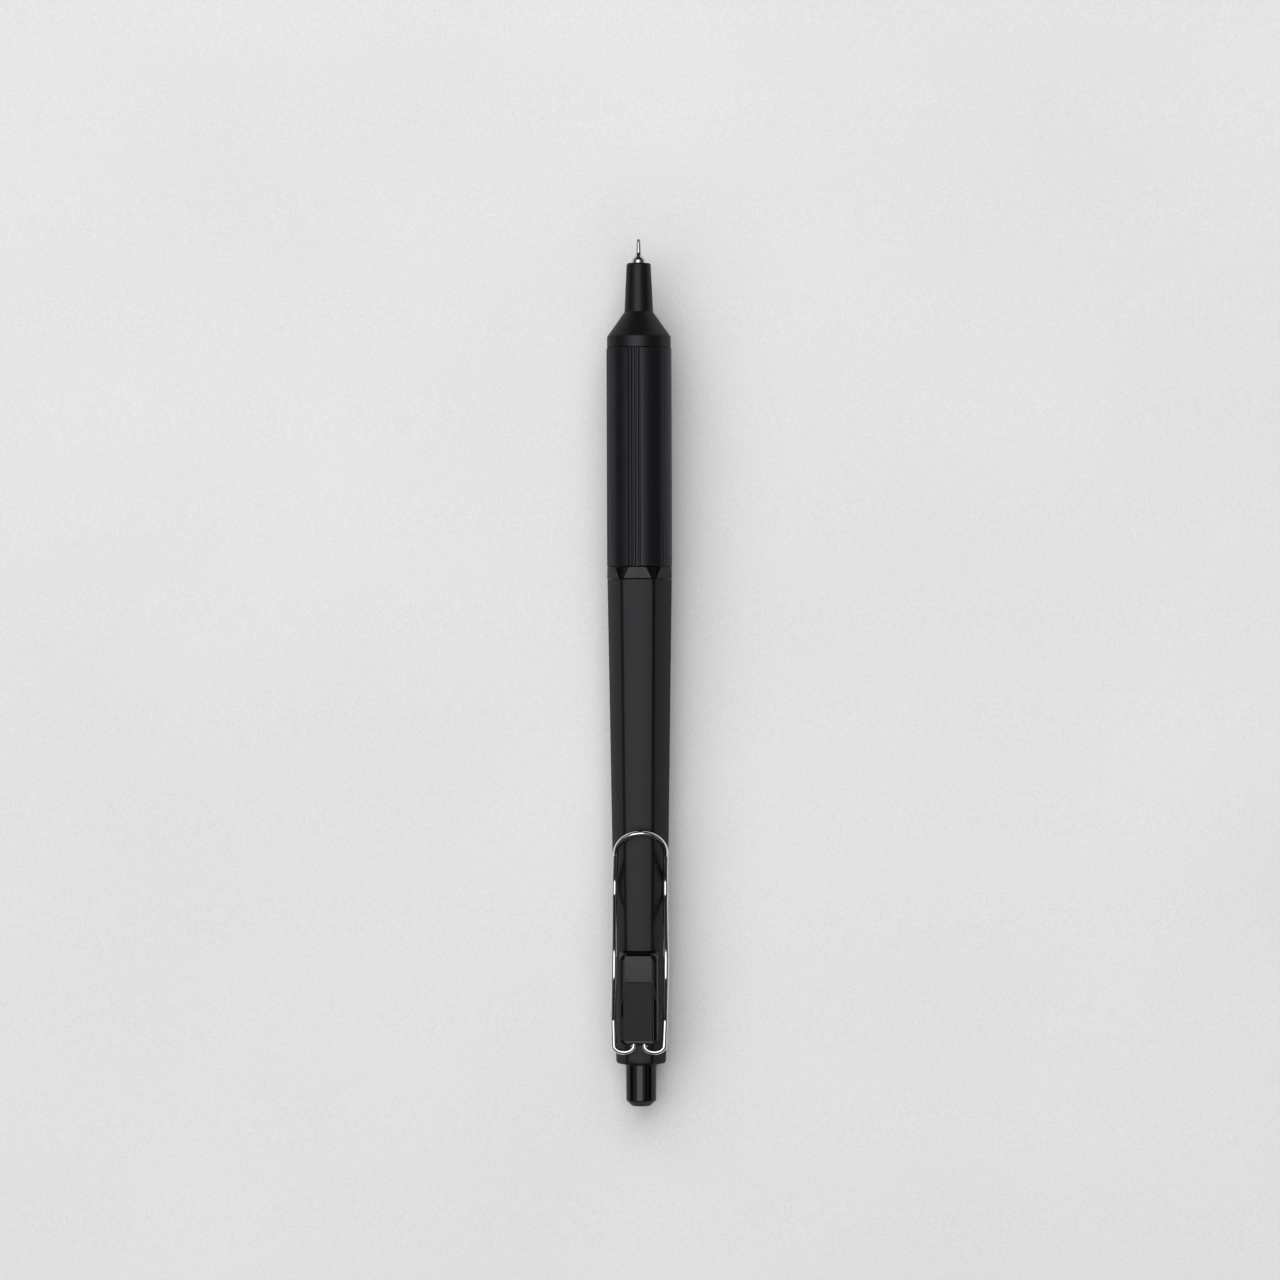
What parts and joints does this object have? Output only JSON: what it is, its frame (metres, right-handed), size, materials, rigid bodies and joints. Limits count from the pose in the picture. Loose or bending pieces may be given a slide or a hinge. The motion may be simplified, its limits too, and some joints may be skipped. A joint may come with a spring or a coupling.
{
  "type": "ballpoint pen",
  "caption": "Slim black click pen: round fluted grip, tapering six-sided barrel, bent-wire clip on a small block, round push button, fine needle point out.",
  "frame": {"origin": "under the middle of the pen's length and width, on the plane that its lowest point touches, with the clip facing up", "axes": "+Y from the push button to the writing point, +Z towards the clip, +X to the right of the pen seen from above with the point away"},
  "size_m": [0.0108, 0.144, 0.0128],
  "materials": {
    "black_satin": "satin black coating on metal",
    "black_gloss": "glossy black coating on metal",
    "bright_wire": "polished, plated spring wire",
    "spring_steel": "drawn spring steel",
    "tip_steel": "bright turned metal",
    "brass": "turned brass",
    "refill_steel": "drawn tube",
    "nylon": "moulded, pale",
    "dark_plastic": "moulded, dark",
    "ink": null
  },
  "bodies": {
    "casing": {"nose_cone": "black_satin", "grip_sleeve": "black_satin", "grip_coupler": "black_satin", "joint_ring": "black_gloss", "barrel": "black_satin", "clip_holder": "black_satin", "holder_front_pad": "black_gloss", "holder_rear_cover": "black_satin", "cam_sleeve": "nylon", "return_spring": "spring_steel"},
    "button": {"push_button": "black_gloss", "cam_plunger": "nylon"},
    "refill": {"writing_ball": "tip_steel", "writing_tip": "tip_steel", "refill_tip_holder": "brass", "refill_tube": "refill_steel", "ink_column": "ink", "ink_follower": "nylon", "refill_tail_plug": "dark_plastic"},
    "rotor": {"cam_rotor": "dark_plastic"},
    "clip": {"clip_wire": "bright_wire"}
  },
  "joints": [
    {"name": "button_press", "type": "slide", "parent": "casing", "child": "button", "axis": [0, 1, 0], "range_m": [-0.005, 0.0012]},
    {"name": "refill_slide", "type": "slide", "parent": "casing", "child": "refill", "axis": [0, 1, 0], "range_m": [-0.005, 0.0012], "deforming": ["return_spring"]},
    {"name": "rotor_turn", "type": "hinge", "parent": "refill", "child": "rotor", "pos_m": [0, -0.033, 0.0054], "axis": [0, 1, 0], "range_deg": [-45, 10.8]},
    {"name": "clip_lift", "type": "hinge", "parent": "casing", "child": "clip", "pos_m": [0, -0.0603, 0.00995], "axis": [1, 0, 0], "range_deg": [0, 4], "stiffness_Nm_per_rad": 1.2}
  ],
  "couplings": [
    {"joint": "refill_slide", "follows": "button_press", "ratio": 1},
    {"joint": "rotor_turn", "follows": "button_press", "rad_per_m": 157.07}
  ]
}
